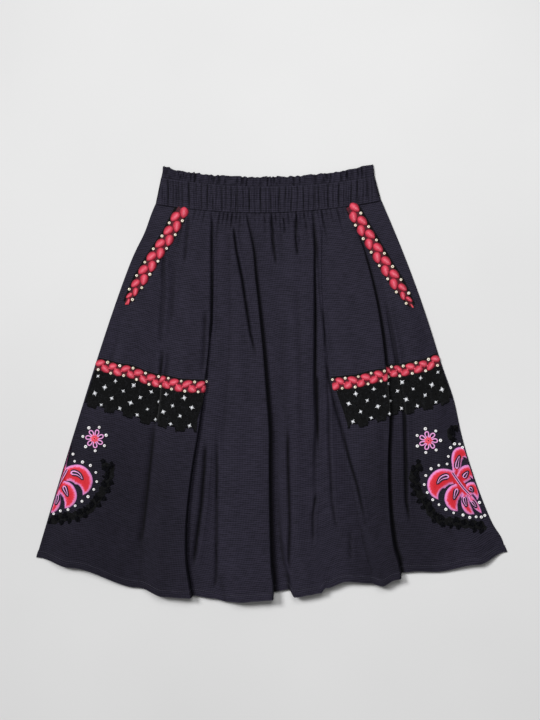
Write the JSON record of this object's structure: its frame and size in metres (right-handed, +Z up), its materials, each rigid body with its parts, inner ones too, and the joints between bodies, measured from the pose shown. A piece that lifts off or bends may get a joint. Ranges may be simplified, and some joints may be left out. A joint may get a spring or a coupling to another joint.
{
  "type": "a-line skirt",
  "caption": "A-line skirt laid flat, front up, with a ruffled elastic waist, slant pockets, leaf braids, lace bands and leaf appliques",
  "frame": {"origin": "on the underside of the back, on the skirt's middle line, near the middle of its length", "axes": "+X to the right as seen from above, +Y from the hem to the waist, +Z up from the surface that it lies on"},
  "size_m": [0.7505, 0.6983, 0.0211],
  "materials": {
    "cotton": "fine crinkled cotton, charcoal navy, matt",
    "leaf_braid": "coral red embroidered leaf braid with pale beads",
    "black_lace": "black corded lace, matt",
    "embroidery": "red, pink and lilac silk embroidery, satin sheen"
  },
  "bodies": {
    "root": {"front_centre": "cotton", "front_side_left": "cotton", "front_side_right": "cotton", "back_centre": "cotton", "back_side_left": "cotton", "back_side_right": "cotton", "waistband_front": "cotton", "waistband_back": "cotton", "waist_ruffle_front": "cotton", "waist_ruffle_back": "cotton", "pocket_facing_left": "cotton", "pocket_facing_right": "cotton", "pocket_braid_left": "leaf_braid", "pocket_braid_right": "leaf_braid", "band_braid_left": "leaf_braid", "band_braid_right": "leaf_braid", "band_lace_left": "black_lace", "band_lace_right": "black_lace", "star_left": "embroidery", "star_right": "embroidery", "leaf_left": "embroidery", "leaf_right": "embroidery", "leaf_edging_left": "black_lace", "leaf_edging_right": "black_lace", "leaf_edging_top_right": "black_lace"}
  },
  "joints": []
}
